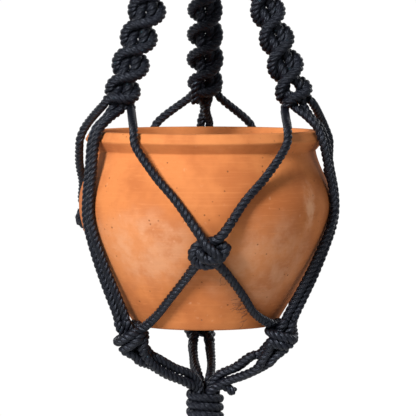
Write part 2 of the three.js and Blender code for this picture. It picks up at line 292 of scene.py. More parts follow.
WRAP_STEPS = 14  # points for each turn of a wrap
FOLD_CLEARANCE = 0.0006  # between the ring and the cords folded over it
FOLD_LAYER = ROPE - 0.0002  # from one cord of a fold to the one on top of it

# ---- Stage ----

FLOOR_HALF = 2.6
CAMERA_TARGET = (0.0026, 0, FOOT + 0.100)
BACKDROP_SEEN = 1.02  # brightness of the white backdrop, and how much of it reaches the object
BACKDROP_LIGHT = 0.18
# Each lamp's place, size, power and colour.
LAMPS = {
    "key": ((-1.35, -2.10, 0.90), 0.8, 107, (1.0, 0.985, 0.96)),
    "fill": ((2.2, -1.6, 0.1), 1.5, 8, (0.93, 0.96, 1.0)),
    "back_left": ((-1.9, 2.0, 0.5), 1.2, 16, (1.0, 1.0, 1.0)),
    "back_right": ((1.9, 2.1, 0.6), 1.2, 16, (1.0, 1.0, 1.0)),
}


# ---- Settings that a user would change ----


class RopeSettings(bpy.types.PropertyGroup):
    dark: FloatVectorProperty(
        name="Dark", description="Colour of the rope in its grooves", subtype="COLOR",
        default=(0.0007, 0.0008, 0.0015), min=0, max=1,
    )
    light: FloatVectorProperty(
        name="Light", description="Colour of the silky filaments on the strands", subtype="COLOR",
        default=(0.0066, 0.0080, 0.0170), min=0, max=1,
    )
    roughness: FloatProperty(
        name="Roughness", description="How dull the filaments are", default=0.28, min=0, max=1,
    )
    filaments: IntProperty(
        name="Loose filaments", description="Number of stray filaments on the cords", default=90, min=0,
    )


class PotSettings(bpy.types.PropertyGroup):
    clay: FloatVectorProperty(
        name="Clay", description="Main colour of the fired clay", subtype="COLOR",
        default=(0.63, 0.212, 0.062), min=0, max=1,
    )
    haze: FloatVectorProperty(
        name="Haze", description="Colour of the mineral haze on the clay", subtype="COLOR",
        default=(0.74, 0.385, 0.215), min=0, max=1,
    )
    segments: IntProperty(
        name="Segments", description="Steps round the pot", default=160, min=24,
    )


class RingSettings(bpy.types.PropertyGroup):
    steel: FloatVectorProperty(
        name="Steel", description="Colour of the ring", subtype="COLOR", default=(0.62, 0.62, 0.64),
        min=0, max=1,
    )
    segments: IntProperty(name="Segments", description="Steps round the ring", default=128, min=16)


class StageSettings(bpy.types.PropertyGroup):
    distance: FloatProperty(
        name="Camera distance", description="From the pot's axis to the camera", default=2.567,
        unit="LENGTH",
    )
    rise: FloatProperty(
        name="Camera rise", description="Height of the camera above the pot's rim", default=0.090,
        unit="LENGTH",
    )
    view: FloatProperty(
        name="Field of view", description="Width of the camera's view", default=math.radians(7.97),
        subtype="ANGLE",
    )
    floor_drop: FloatProperty(
        name="Floor drop", description="From the pot's foot down to the floor", default=1.1,
        unit="LENGTH",
    )


# ---- Paths ----


def unit(vector):
    return vector / np.linalg.norm(vector)


def mix(low, high, share):
    return low + (high - low) * share


def outward(azimuth):
    angle = math.radians(azimuth)
    return np.array([math.cos(angle), math.sin(angle), 0.0])


def sideways(azimuth):
    return outward(azimuth + 90)


def at(azimuth, radius, height):
    """A point at an azimuth and radius, with its height counted from the pot's foot."""
    return outward(azimuth) * radius + np.array([0, 0, FOOT + height])


def bezier(points, steps):
    """Points on a Bezier curve of any order, without its first point."""
    shares = np.linspace(0, 1, steps + 1)[1:, None]
    rows = [np.array(point, float)[None, :] * np.ones_like(shares) for point in points]
    while len(rows) > 1:
        rows = [a + (b - a) * shares for a, b in zip(rows, rows[1:])]
    return [tuple(point) for point in rows[0]]


def pot_outline(steps):
    """The outside of the pot from its foot to its rim, as radii and heights."""
    half = (BELLY_HEIGHT - FOOT_ROUND) / 2
    shoulder = LIP_START - BELLY_HEIGHT
    start = (FOOT_RADIUS - FOOT_ROUND, 0.0)
    heel = (FOOT_RADIUS + 0.001, FOOT_ROUND)
    belly = (BELLY_RADIUS, BELLY_HEIGHT)
    neck = (NECK_RADIUS, LIP_START)
    low_handle = (FOOT_RADIUS + (BELLY_RADIUS - FOOT_RADIUS) * BELLY_SLOPE, half * 0.9)
    outline = [start]
    outline += bezier([start, (FOOT_RADIUS, 0.0), heel], 5)
    outline += bezier([heel, low_handle, (BELLY_RADIUS, BELLY_HEIGHT - half / 2), belly], steps)
    outline += bezier(
        [
            belly,
            (BELLY_RADIUS, BELLY_HEIGHT + shoulder * 0.4),
            (NECK_RADIUS + 0.002, BELLY_HEIGHT + shoulder * 0.7),
            neck,
        ],
        steps,
    )
    return outline


def lip_outline():
    """The outside of the lip, which widens to its edge and narrows again to the rim."""
    return [
        (NECK_RADIUS + 0.0005, LIP_START + 0.001),
        (LIP_RADIUS, LIP_WIDEST),
        (RIM_RADIUS, POT_HEIGHT - RIM_ROUND),
        (RIM_RADIUS - RIM_ROUND, POT_HEIGHT),
    ]


def pot_profile():
    """The pot's whole section as radii and heights: drain hole, outside, lip, rim, inside and floor."""
    outside = pot_outline(34)
    inside = [
        (radius - WALL, height)
        for radius, height in reversed(outside)
        if FLOOR + WALL < height < LIP_START + 0.001
    ]
    mouth = NECK_RADIUS - WALL + 0.003
    low_radius = inside[-1][0]
    rim = [
        (RIM_RADIUS + 0.0004, POT_HEIGHT - RIM_ROUND - 0.0008),
        (RIM_RADIUS - 0.0004, POT_HEIGHT),
        (RIM_RADIUS - 0.0026, POT_HEIGHT),
    ]
    mouth_edge = [(mouth + 0.0022, POT_HEIGHT), (mouth + 0.0002, POT_HEIGHT)]
    mouth_edge.append((mouth, POT_HEIGHT - RIM_ROUND - 0.001))
    floor_bend = [inside[-1], (low_radius - WALL, FLOOR + 0.0005), (low_radius - WALL * 1.7, FLOOR)]
    return [
        (DRAIN_RADIUS, 0.0008),
        (DRAIN_RADIUS + 0.0008, 0.0),
        *outside,
        (NECK_RADIUS + 0.0004, LIP_START + 0.0006),
        (NECK_RADIUS + 0.0014, LIP_START + 0.0016),
        (LIP_RADIUS - 0.0012, LIP_WIDEST - 0.0016),
        (LIP_RADIUS - 0.0003, LIP_WIDEST - 0.0006),
        (LIP_RADIUS - 0.0003, LIP_WIDEST + 0.0006),
        (LIP_RADIUS - 0.0011, LIP_WIDEST + 0.0016),
        rim[0],
        *bezier(rim, 5),
        mouth_edge[0],
        *bezier(mouth_edge, 4),
        *inside,
        *bezier(floor_bend, 6),
        (DRAIN_RADIUS + 0.0015, FLOOR),
        (DRAIN_RADIUS, FLOOR - 0.001),
    ]


OUTLINE = pot_outline(24) + lip_outline()


def bridged_radius(height):
    """The radius at which a taut cord crosses a height: it bridges the neck from lip to belly."""
    radius = 0.0
    for low in OUTLINE:
        for high in OUTLINE:
            if low[1] <= height <= high[1] and high[1] > low[1]:
                share = (height - low[1]) / (high[1] - low[1])
                radius = max(radius, mix(low[0], high[0], share))
    return radius


def side_normal(height):
    """The direction out of the pot's side at a height, as its outward and upward parts."""
    probe = 0.002
    slope = (bridged_radius(height + probe) - bridged_radius(height - probe)) / (2 * probe)
    return unit(np.array([1.0, -slope]))


def resting(azimuth, height, lift=0.0):
    """The middle of a cord that lies on the pot, or is lifted off it."""
    normal = side_normal(height)
    away = CORD_AWAY + lift
    return at(azimuth, bridged_radius(height) + normal[0] * away, height + normal[1] * away)


def over_rim(azimuth):
    return at(azimuth, RIM_RADIUS + CORD_AWAY * RIM_OUT, POT_HEIGHT + CORD_AWAY * RIM_UP)


def over_lip(azimuth):
    return at(azimuth, LIP_RADIUS + CORD_AWAY, LIP_WIDEST)


def smooth_path(points, step=PATH_STEP):
    """Evenly spaced points on the centripetal curve through some points, and where each one lies."""
    points = np.array(points, float)
    ends = [2 * points[0] - points[1], *points, 2 * points[-1] - points[-2]]
    shares = np.linspace(0, 1, 12, endpoint=False)[:, None]
    rows = []
    for p0, p1, p2, p3 in zip(ends, ends[1:], ends[2:], ends[3:]):
        t1 = math.sqrt(np.linalg.norm(p1 - p0)) + 1e-9
        t2 = t1 + math.sqrt(np.linalg.norm(p2 - p1)) + 1e-9
        t3 = t2 + math.sqrt(np.linalg.norm(p3 - p2)) + 1e-9
        t = t1 + (t2 - t1) * shares
        a1 = p0 + (p1 - p0) * t / t1
        a2 = p1 + (p2 - p1) * (t - t1) / (t2 - t1)
        a3 = p2 + (p3 - p2) * (t - t2) / (t3 - t2)
        b1 = a1 + (a2 - a1) * t / t2
        b2 = a2 + (a3 - a2) * (t - t1) / (t3 - t1)
        rows.append(b1 + (b2 - b1) * (t - t1) / (t2 - t1))
    fine = np.vstack([*rows, points[-1]])
    lengths = np.concatenate([[0], np.cumsum(np.linalg.norm(np.diff(fine, axis=0), axis=1))])
    knots = lengths[:: len(shares)]
    count = max(4, round(lengths[-1] / step))
    places = np.linspace(0, lengths[-1], count + 1)
    path = np.stack([np.interp(places, lengths, fine[:, axis]) for axis in range(3)], axis=1)
    return path, places, knots


def path_frames(path):
    """Two directions across a path at each point, which turn with it and don't twist."""
    along = np.gradient(path, axis=0)
    along /= np.linalg.norm(along, axis=1)[:, None]
    first = np.cross(along[0], [0.31, 0.47, 0.83])
    normals = []
    normal = unit(first)
    for direction in along:
        normal = unit(normal - direction * normal.dot(direction))
        normals.append(normal)
    normals = np.array(normals)
    return normals, np.cross(along, normals)


def strand_paths(path, places, swell, phase=0.0, flare=0.0):
    """The strands of a right-handed cord along a path, with their thickness as a fourth column.

    Swell widens the cord, and flare opens its strands at the far end.
    """
    normals, others = path_frames(path)
    strands = []
    opened = 1 + flare * np.clip((places - places[-1]) / FLARE_LENGTH + 1, 0, 1) ** 2
    for strand in range(STRANDS):
        angle = phase + 2 * math.pi * (places / LAY + strand / STRANDS)
        slack = 1 + STRAND_SLACK * np.sin(places * 410 + 2.1 * strand) * np.sin(places * 173 + phase)
        offset = (STRAND_OFFSET * slack * opened * swell)[:, None]
        across = np.cos(angle)[:, None] * normals + np.sin(angle)[:, None] * others
        strands.append(np.c_[path + offset * across, swell])
    return strands


# ---- Routes of the legs ----


def arm_line(each):
    """An arm's start and finish, the direction between them, and the one its knots are wide in."""
    start = outward(each["azimuth"]) * ARM_TOP_RADIUS + np.array([0, 0, TOP_WRAP_FOOT - ARM_TOP_GAP])
    finish = at(each["azimuth"], ARM_END_RADIUS, POT_HEIGHT + each["end"])
    along = unit(finish - start)
    side = sideways(each["facing"])
    side = unit(side - along * side.dot(along))
    return start, finish, along, side


def arm_exit(each, place):
    """Where a cord leaves an arm, counted in cords from the arm's middle."""
    _, finish, along, side = arm_line(each)
    return finish + along * SEAM_GAP + side * place * SIDE_BY_SIDE


SINNET_HALF_WIDTH = 0.0124
SINNET_HALF_DEPTH = 0.0084
SINNET_CORNER = 0.0037  # half the square in which the four cords leave the wrap
SINNET_UNEVEN = 0.04  # how much the knots differ in width
WRAP_REACH = 0.014  # how far into the wrap the cords begin
FILLER_APART = 0.0042
FILLER_SHIFT = 0.0012
NECK_PINCH = 0.0010
LOBE_DRAW = 0.0018  # how much the windings bulge up and down, which parts the knots
KNOT_STEPS = 8  # points for each knot


def sinnet_leg(each, place):
    """One of the four cords of an arm, from inside the top wrap down to the last knot's middle.

    The outer two cords wind round the inner two, half a turn for each full knot.
    """
    start, finish, along, side = arm_line(each)
    out = np.cross(along, side)
    length = np.linalg.norm(finish - start)
    pitch = each["pitch"]
    knots = int((length - ARM_LEGS) / pitch)
    last = length - pitch / 2
    worker = abs(place) > 1
    hand = math.copysign(1, place)
    corner = (hand * SINNET_CORNER, SINNET_CORNER if worker else -SINNET_CORNER)
    points = [
        start - along * WRAP_REACH + side * corner[0] * 0.8 + out * corner[1] * 0.8,
        start + side * corner[0] + out * corner[1],
    ]
    for index in range(KNOT_STEPS * knots - KNOT_STEPS // 2, -KNOT_STEPS, -1):
        turn = math.pi * index / KNOT_STEPS
        level = last - pitch * index / KNOT_STEPS * (1 if index > 0 else 0.5)
        in_last = abs(index) < KNOT_STEPS / 2
        opening = each["open"] * max(0.0, math.cos(turn)) ** 2 if in_last else 0.0
        swell = each["girth"] + SINNET_UNEVEN * math.sin(1.7 * level / pitch)
        swell -= each["taper"] * max(0.0, level / length - TAPER_FROM)
        if worker:
            angle = -turn + (math.pi if hand > 0 else 0)
            across = (SINNET_HALF_WIDTH + opening * 0.4) * swell * math.cos(angle)
            forward = SINNET_HALF_DEPTH * math.sin(angle)
            level -= LOBE_DRAW * math.sin(2 * turn)
        else:
            across = hand * (FILLER_APART - NECK_PINCH * math.sin(turn) ** 2 + opening)
            forward = hand * FILLER_SHIFT * math.sin(2 * turn)
        points.append(start + along * level + side * across + out * forward)
    return points


def crossing_frame(knot):
    """A crossing knot's centre on the pot, and its sideways, outward and upward directions."""
    normal = side_normal(knot["height"])
    out = outward(knot["azimuth"]) * normal[0] + np.array([0, 0, normal[1]])
    side = sideways(knot["azimuth"])
    centre = resting(knot["azimuth"], knot["height"], CROSSING_DEPTH / 2 - ROPE_RADIUS)
    return centre, side, out, np.cross(out, side)


def lower_frame(each):
    """A lower knot's centre below the pot, and its sideways, outward and upward directions."""
    lean = math.radians(LOWER_LEAN)
    up = outward(each["lower"]) * math.sin(lean) + np.array([0, 0, math.cos(lean)])
    roll = math.radians(-each["roll"])
    flat = sideways(each["lower"])
    side = flat * math.cos(roll) + np.cross(up, flat) * math.sin(roll)
    return at(each["lower"], LOWER_RADIUS, -LOWER_DROP), side, np.cross(side, up), up


def in_frame(knot_frame, points):
    """Points that are given in a knot's own directions."""
    centre, side, out, up = knot_frame
    return [centre + side * x + out * y + up * z for x, y, z in points]


def near(azimuth, target):
    """The same direction, counted within half a turn of another."""
    return azimuth - 360 * round((azimuth - target) / 360)


def upper_diagonal(each, knot, way):
    """A cord from an arm over the rim and slantwise down to a crossing knot."""

    def around(share):
        return mix(near(each["azimuth"], knot["azimuth"]), knot["azimuth"], share)

    scale = (LIP_WIDEST - knot["height"]) / (LIP_WIDEST - COURSE_KNOT_HEIGHT)
    course = [
        resting(around(share), LIP_WIDEST + (height - LIP_WIDEST) * scale)
        for share, height in UPPER_COURSE
    ]
    return [arm_exit(each, way * 1.5), over_rim(around(0.41)), over_lip(around(0.445)), *course]


def crossing_passage(knot, way):
    """A leg's way through a crossing knot: one leg sweeps across and the other loops round it."""
    centre, side, out, up = crossing_frame(knot)
    frame_above = (centre + up * CROSSING_RISE, side, out, up)
    return in_frame(frame_above, SWEEPING_CORD if way > 0 else LOOPING_CORD)


def lower_diagonal(each, knot):
    """A cord from a crossing knot slantwise down to a lower knot."""
    scale = knot["height"] / COURSE_KNOT_HEIGHT
    lower = near(each["lower"], knot["azimuth"])
    return [
        resting(mix(knot["azimuth"], lower, share), height * scale) for share, height in LOWER_COURSE
    ]


def side_cord(each, way):
    """A cord of the pair that runs from an arm straight down the pot to its lower knot."""
    half = way * PAIR_APART / 2

    def spread(azimuth, roll):
        turn = math.radians(roll)
        return (sideways(azimuth) * math.cos(turn) + outward(azimuth) * math.sin(turn)) * half

    leaving = arm_exit(each, way / 2)
    stacked = mix(arm_exit(each, 0), over_rim(each["azimuth"]), 0.5)
    points = [
        leaving,
        stacked + spread(each["azimuth"], each["stack"]),
        over_rim(each["azimuth"]) + spread(each["azimuth"], 0),
        over_lip(each["azimuth"]) + spread(each["azimuth"], 0),
    ]
    for height, share, roll, lift in SIDE_COURSE:
        above = height > SIDE_COURSE[2][0]
        azimuth = mix(each["azimuth"] if above else each["lower"], each["belly"], share)
        points.append(resting(azimuth, height, lift) + spread(azimuth, roll * each["roll"]))
    return points


def lower_passage(each, apart, way, over):
    """A leg's way through a lower knot, where the diagonals wind round the side cords.

    Over is 1 for a diagonal, which comes out above, and -1 for a side cord.
    """
    if over > 0:
        inside = [(x * each["squeeze"], y, z) for x, y, z in (WINDING_CORD if way > 0 else UNDER_CORD)]
        if way == each["tuck"]:
            inside[0] = (way * TUCKED_START[0], *TUCKED_START[1:])
    else:
        inside = [(way * x, y, z) for x, y, z in MIDDLE_CORD]
    wide = way * apart[0][0]
    out = over * PAIR_APART / 2
    low = LOWER_HEIGHT * -0.58
    return in_frame(lower_frame(each), [*inside, (wide, out, low), (wide, out, low - ROPE_RADIUS)])


def cradle_cord(each, apart, way, over):
    """A cord from a lower knot to the bottom wrap and on into it, beside and above its neighbours."""
    slope = math.radians(60)
    aside = sideways(each["lower"]) * way
    lift = (outward(each["lower"]) * math.cos(slope) - np.array([0, 0, math.sin(slope)])) * over
    course = [
        at(each["lower"], *row) + aside * wide + lift * high
        for row, (wide, high) in zip(CRADLE_COURSE, apart)
    ]
    wide, high = CRADLE_END_APART
    for index, row in enumerate(CRADLE_END):
        fade = max(0.1, 0.55 - 0.15 * index)
        course.append(at(each["lower"], *row) + aside * wide + lift * high * fade)
    return course


def gathered(arm_name, way, over):
    """The last stretches of a leg: through its lower knot, and on to the bottom wrap."""
    each, apart = ARMS[arm_name], CRADLE_APART[arm_name]
    return [
        (f"{arm_name}_gathering_knot", lower_passage(each, apart, way, over), KNOT_SWELL),
        (f"{arm_name}_cradle", cradle_cord(each, apart, way, over), 1.0),
    ]


def fold_path(x, layer):
    """A cord from the top wrap over the ring and back, on the ring or on top of the first layer."""
    radius = WIRE_RADIUS + ROPE_RADIUS + FOLD_CLEARANCE + layer * FOLD_LAYER
    turn = [
        np.array([x, -radius * math.cos(angle), RING_FOOT + WIRE_RADIUS + radius * math.sin(angle)])
        for angle in np.radians(range(0, 181, 20))
    ]
    foot = 0.0032 + 0.0058 * layer
    knee = mix(radius, foot + 0.0015, 0.45)
    shape = ((0.55, foot * 0.8, -WRAP_REACH), (0.72, foot, 0.001), (0.93, knee, 0.016))
    down = [np.array([x * narrow, -reach, TOP_WRAP_TOP + height]) for narrow, reach, height in shape]
    return [*down, *turn, *(point * [1, -1, 1] for point in reversed(down))]


# ---- Meshes and pieces ----


class RopeWork:
    """Collects the strands of every rope piece, cut from legs that run on through several pieces."""

    def __init__(self):
        self.strands = {}
        self.lengths = {}

    def run(self, stretches, phase=0.0, flare=0.0):
        """Lays one rope through (piece name, points, swell) stretches, and cuts it at their seams."""
        names = [name for name, _, _ in stretches]
        points = [point for _, stretch, _ in stretches for point in stretch]
        swells = [swell for _, stretch, swell in stretches for _ in stretch]
        firsts = np.cumsum([0] + [len(stretch) for _, stretch, _ in stretches])
        path, places, knots = smooth_path(points)
        strands = strand_paths(path, places, np.interp(places, knots, swells), phase, flare)
        cuts = [0]
        for first in firsts[1:-1]:
            cuts.append(int(np.searchsorted(places, (knots[first - 1] + knots[first]) / 2)))
        cuts.append(len(path) - 1)
        for name, low, high in zip(names, cuts, cuts[1:]):
            self.strands.setdefault(name, []).extend(strand[low : high + 1] for strand in strands)
            self.lengths.setdefault(name, []).append(places[high] - places[low])
        return path

    def piece(self, name, nodes, material, slot="rope"):
        """Makes the piece of that name from its strands. It stands for the nodes and rides the hanger."""
        curve = round_curve(name, STRAND_RADIUS, 2)
        curve.use_fill_caps = True
        for strand in self.strands[name]:
            radii = strand[:, 3].copy()
            radii[[0, -1]] *= END_TAPER
            add_spline(curve, strand[:, :3], radii)
        mesh = tube_mesh(curve)
        mesh.name = name
        scale_uv(mesh, float(np.mean(self.lengths[name])))
        obj = linked(name, mesh)
        join_doubles(mesh)
        shade_smooth(mesh)
        dress(obj, material, "hanger")
        if nodes:
            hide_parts(*nodes)
        return obj


def round_curve(name, radius, roundness):
    """An empty curve whose splines become round tubes."""
    curve = bpy.data.curves.new(name, "CURVE")
    curve.dimensions = "3D"
    curve.bevel_depth = radius
    curve.bevel_resolution = roundness
    return curve


def add_spline(curve, points, radii=None):
    spline = curve.splines.new("POLY")
    spline.points.add(len(points) - 1)
    spline.points.foreach_set("co", np.c_[points, np.ones(len(points))].ravel())
    if radii is not None:
        spline.points.foreach_set("radius", radii)


def tube_mesh(curve):
    """Turns a curve into a mesh and removes the curve."""
    holder = linked(curve.name, curve)
    graph = bpy.context.evaluated_depsgraph_get()
    mesh = bpy.data.meshes.new_from_object(holder.evaluated_get(graph))
    bpy.data.objects.remove(holder)
    bpy.data.curves.remove(curve)
    return mesh


def scale_uv(mesh, length):
    """Multiplies a strand's V, which goes round it, by its length in millimetres.

    U stays the share of the way along it.
    """
    uv = mesh.uv_layers[0].data
    values = np.zeros(len(uv) * 2)
    uv.foreach_get("uv", values)
    values[1::2] *= length * 1000
    uv.foreach_set("uv", values)


def spin(work, middle, axis, steps):
    """Turns a bmesh's outline once round an axis into a closed surface."""
    bmesh.ops.spin(
        work, geom=[*work.verts, *work.edges], cent=middle, axis=axis, angle=2 * math.pi,
        steps=steps, use_merge=True,
    )
    bmesh.ops.remove_doubles(work, verts=work.verts, dist=1e-6)
    bmesh.ops.recalc_face_normals(work, faces=work.faces)


def mesh_object(name, work):
    """Puts a bmesh in an object of that name."""
    mesh = bpy.data.meshes.new(name)
    work.to_mesh(mesh)
    work.free()
    return linked(name, mesh)


def join_doubles(mesh, distance=1e-7):
    work = bmesh.new()
    work.from_mesh(mesh)
    bmesh.ops.remove_doubles(work, verts=work.verts, dist=distance)
    work.to_mesh(mesh)
    work.free()


def shade_smooth(mesh):
    mesh.polygons.foreach_set("use_smooth", np.ones(len(mesh.polygons), bool))


def dress(obj, material, body):
    """Gives a finished piece its material and body."""
    obj.data.materials.clear()
    obj.data.materials.append(material)
    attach(obj, body)


def linked(name, data):
    obj = bpy.data.objects.new(name, data)
    bpy.context.scene.collection.objects.link(obj)
    return obj


def aim(obj, target):
    obj.rotation_euler = (Vector(target) - obj.location).to_track_quat("-Z", "Y").to_euler()


# ---- Materials ----


class Wire:
    """A socket that can be used in sums, each of which adds its Math node."""

    def __init__(self, paint, socket):
        self.paint, self.socket = paint, socket

    def _math(self, operation, *values):
        return self.paint.node("ShaderNodeMath", {"operation": operation}, *values)[0]

    def __add__(self, other):
        return self._math("ADD", self, other)

    def __sub__(self, other):
        return self._math("SUBTRACT", self, other)

    def __rsub__(self, other):
        return self._math("SUBTRACT", other, self)

    def __mul__(self, other):
        return self._math("MULTIPLY", self, other)

    __radd__, __rmul__ = __add__, __mul__

    def between(self, low, high):
        """0 below low, 1 above high and smooth from one to the other."""
        settings = {"interpolation_type": "SMOOTHSTEP", "clamp": True}
        return self.paint.node("ShaderNodeMapRange", settings, self, low, high, 0.0, 1.0)[0]

    def sine(self):
        return self._math("SINE", self)

    def larger(self, other):
        return self._math("MAXIMUM", self, other)


class Paint:
    """A material and the one method that adds its nodes."""

    def __init__(self, name):
        self.material = bpy.data.materials.new(name)
        self.material.use_nodes = True
        self.tree = self.material.node_tree
        self.surface = self.tree.nodes["Principled BSDF"]

    def node(self, kind, settings=None, *values, **named):
        """Adds a node with its settings, then its inputs in order or by name, and returns its outputs."""
        made = self.tree.nodes.new(kind)
        for key, value in (settings or {}).items():
            setattr(made, key, value)
        shown = [socket for socket in made.inputs if socket.enabled]
        pairs = [*zip(shown, values), *((made.inputs[key], value) for key, value in named.items())]
        for socket, value in pairs:
            self.feed(socket, value)
        return [Wire(self, socket) for socket in made.outputs if socket.enabled]

    def feed(self, socket, value):
        if isinstance(value, Wire):
            self.tree.links.new(value.socket, socket)
        elif value is not None:
            socket.default_value = value

    def shade(self, **inputs):
        for key, value in inputs.items():
            self.feed(self.surface.inputs[key.replace("_", " ")], value)
        return self.material

    def blend(self, factor, first, second):
        settings = {"data_type": "RGBA", "blend_type": "MIX"}
        colours = [rgba(c) for c in (first, second)]
        return self.node("ShaderNodeMix", settings, factor, *colours)[0]

    def bump(self, height, strength, distance):
        return self.node("ShaderNodeBump", None, strength, distance, Height=height)[0]

    def coordinates(self, *kinds):
        """The piece's own coordinates of each kind that is named, such as Object or UV."""
        wires = {wire.socket.name: wire for wire in self.node("ShaderNodeTexCoord")}
        return [wires[kind] for kind in kinds]

    def vector(self, operation, *values):
        """What a Vector Math node gives: a number for LENGTH, and otherwise a vector."""
        return self.node("ShaderNodeVectorMath", {"operation": operation}, *values)[-1]

    def noise(self, vector, scale, detail=2.0, roughness=0.5):
        named = {"Vector": vector, "Scale": scale, "Detail": detail, "Roughness": roughness}
        return self.node("ShaderNodeTexNoise", None, **named)[0]


def rgba(colour):
    return colour if isinstance(colour, Wire) else (*colour, 1.0)


def tinted(colour, *factors):
    """A colour whose channels are multiplied, all by one factor or by one each."""
    factors = factors * 3 if len(factors) == 1 else factors
    return tuple(min(1.0, channel * factor) for channel, factor in zip(colour, factors))


def rope_paint(name, settings, lift=1.0):
    """Silky dark strands: yarns of fine filaments, lightened by lift, with a few blue-green glints."""
    paint = Paint(name)
    place, uv = paint.coordinates("Object", "UV")
    share, around = paint.node("ShaderNodeSeparateXYZ", None, uv)[:2]
    yarns = (share * (2 * math.pi * 7) + around * 0.9).sine() * 0.5 + 0.5
    slant = share * 9.0 + around * 0.14
    fibre_place = paint.node("ShaderNodeCombineXYZ", None, slant, around * 0.11, 0.0)[0]
    fibres = paint.noise(fibre_place, 3.2, 3.0, 0.65)
    patches = paint.noise(place, 130.0)
    shine = (fibres.between(0.42, 0.74) * 0.75 + yarns * 0.35) * patches.between(0.25, 0.7)
    silk = paint.blend(shine, tinted(settings.dark, lift), tinted(settings.light, lift))
    glints = paint.noise(place, 310.0, 1.0).between(0.72, 0.80)
    glint_colour = (0.03, 0.085, 0.11)
    gloss = (1.0 - settings.roughness) * (0.75 + 0.25 * shine)
    return paint.shade(
        Base_Color=paint.blend(glints * 0.55, silk, glint_colour),
        Roughness=1.0 - gloss,
        Normal=paint.bump(yarns * 0.5 + fibres, 0.45, 0.0007),
        Specular_IOR_Level=0.52,
        Specular_Tint=(0.72, 0.80, 1.0, 1.0),
        Sheen_Weight=0.02,
        Sheen_Roughness=0.4,
        Sheen_Tint=(0.45, 0.50, 0.85, 1.0),
    )


def clay_paint(settings):
    """Fired clay with throwing marks, mineral haze, pits, pale flecks, a rim made paler by scuffs and by
    a painted highlight, and a foot that is darker towards the bottom.
    """
    paint = Paint("fired_clay")
    (place,) = paint.coordinates("Object")
    x, y, z = paint.node("ShaderNodeSeparateXYZ", None, place)
    around = paint.node("ShaderNodeMath", {"operation": "ARCTAN2"}, y, x)[0]
    ring_place = paint.node("ShaderNodeCombineXYZ", None, around.sine() * 0.02, z, 0.0)[0]
    broad = paint.noise(place, 22.0, 3.0, 0.55)
    fine = paint.noise(place, 260.0, 3.0, 0.6)
    marks = paint.noise(ring_place, 520.0, 2.0, 0.6)
    clay = settings.clay
    deep = tinted(clay, 0.78, 0.70, 0.66)
    pale = tinted(clay, 1.12, 1.22, 1.35)
    colour = paint.blend(broad.between(0.38, 0.62), deep, clay)
    colour = paint.blend(marks.between(0.5, 0.72) * 0.30, colour, pale)
    colour = paint.blend(fine.between(0.52, 0.75) * 0.25, colour, deep)

    def blot(azimuth, height, radius, grow, narrow=1.0):
        """A mask for a soft patch on the side, squashed upwards by grow and across by narrow."""
        centre = at(azimuth, bridged_radius(height), height)
        shift = paint.vector("SUBTRACT", place, tuple(centre))
        distance = paint.vector("LENGTH", paint.vector("MULTIPLY", shift, (narrow, narrow, grow)))
        reach = distance + (broad - 0.5) * radius * 0.9
        return 1.0 - reach.between(radius * 0.35, radius)

    haze = blot(238, 0.070, 0.072, 1.6)
    for patch in ((303, 0.058, 0.066, 1.4), (40, 0.070, 0.055, 1.5), (140, 0.050, 0.050, 1.6)):
        haze = haze.larger(blot(*patch))
    streaks = paint.noise(place, 60.0, 4.0, 0.65).between(0.36, 0.66)
    colour = paint.blend(haze * (0.30 + 0.70 * streaks) * 0.55, colour, settings.haze)
    streak = blot(325, 0.104, 0.030, 0.9, 2.6) * streaks
    colour = paint.blend(streak * 0.75, colour, tinted(settings.haze, 1.15))

    pits = paint.node("ShaderNodeTexVoronoi", None, Vector=place, Scale=150.0, Randomness=1.0)[0]
    pit = (1.0 - pits.between(0.07, 0.17)) * paint.noise(place, 42.0).between(0.5, 0.6)
    colour = paint.blend(pit * 0.85, colour, tinted(clay, 0.30))
    flecks = paint.node("ShaderNodeTexVoronoi", None, Vector=place, Scale=118.0, Randomness=1.0)[0]
    ragged = paint.noise(place, 420.0).between(0.42, 0.6)
    scuffed = ragged * paint.noise(place, 35.0).between(0.5, 0.62)
    colour = paint.blend((1.0 - flecks.between(0.03, 0.26)) * scuffed * 0.5, colour, settings.haze)

    # The lip's upper bevel and the rim are made paler: partly pale scuffs, broken up by the streaks, and
    # partly a painted highlight on these upward faces.
    rim_foot = FOOT + POT_HEIGHT - 0.0105
    rim = (z - rim_foot).between(0.0, 0.002)
    colour = paint.blend(rim * (0.18 + 0.35 * streaks), colour, pale)
    # The clay is darker towards the bottom, over the lowest 8 mm of the pot.
    foot_darkening = (1.0 - (z - (FOOT + 0.001)).between(0.0, 0.007)) * 0.35
    colour = paint.blend(foot_darkening, colour, tinted(clay, 0.6))
    grain = paint.noise(place, 900.0)
    return paint.shade(
        Base_Color=colour,
        Roughness=0.78 + 0.16 * fine,
        Normal=paint.bump(marks * 0.55 + fine * 0.35 + grain * 0.15 - pit * 1.2, 0.35, 0.0006),
        Specular_IOR_Level=0.32,
    )


def steel_paint(settings):
    paint = Paint("brushed_ring_steel")
    (place,) = paint.coordinates("Object")
    brushing = paint.noise(place, 900.0, 3.0, 0.7)
    worn = paint.noise(place, 90.0).between(0.4, 0.7) * 0.5
    return paint.shade(
        Base_Color=paint.blend(worn, settings.steel, tinted(settings.steel, 0.75)),
        Metallic=1.0,
        Roughness=0.22 + 0.25 * brushing,
        Normal=paint.bump(brushing, 0.12, 0.0002),
    )


# ---- Operators ----


class PlanterOperator(bpy.types.Operator):
    bl_options = {"REGISTER", "UNDO"}


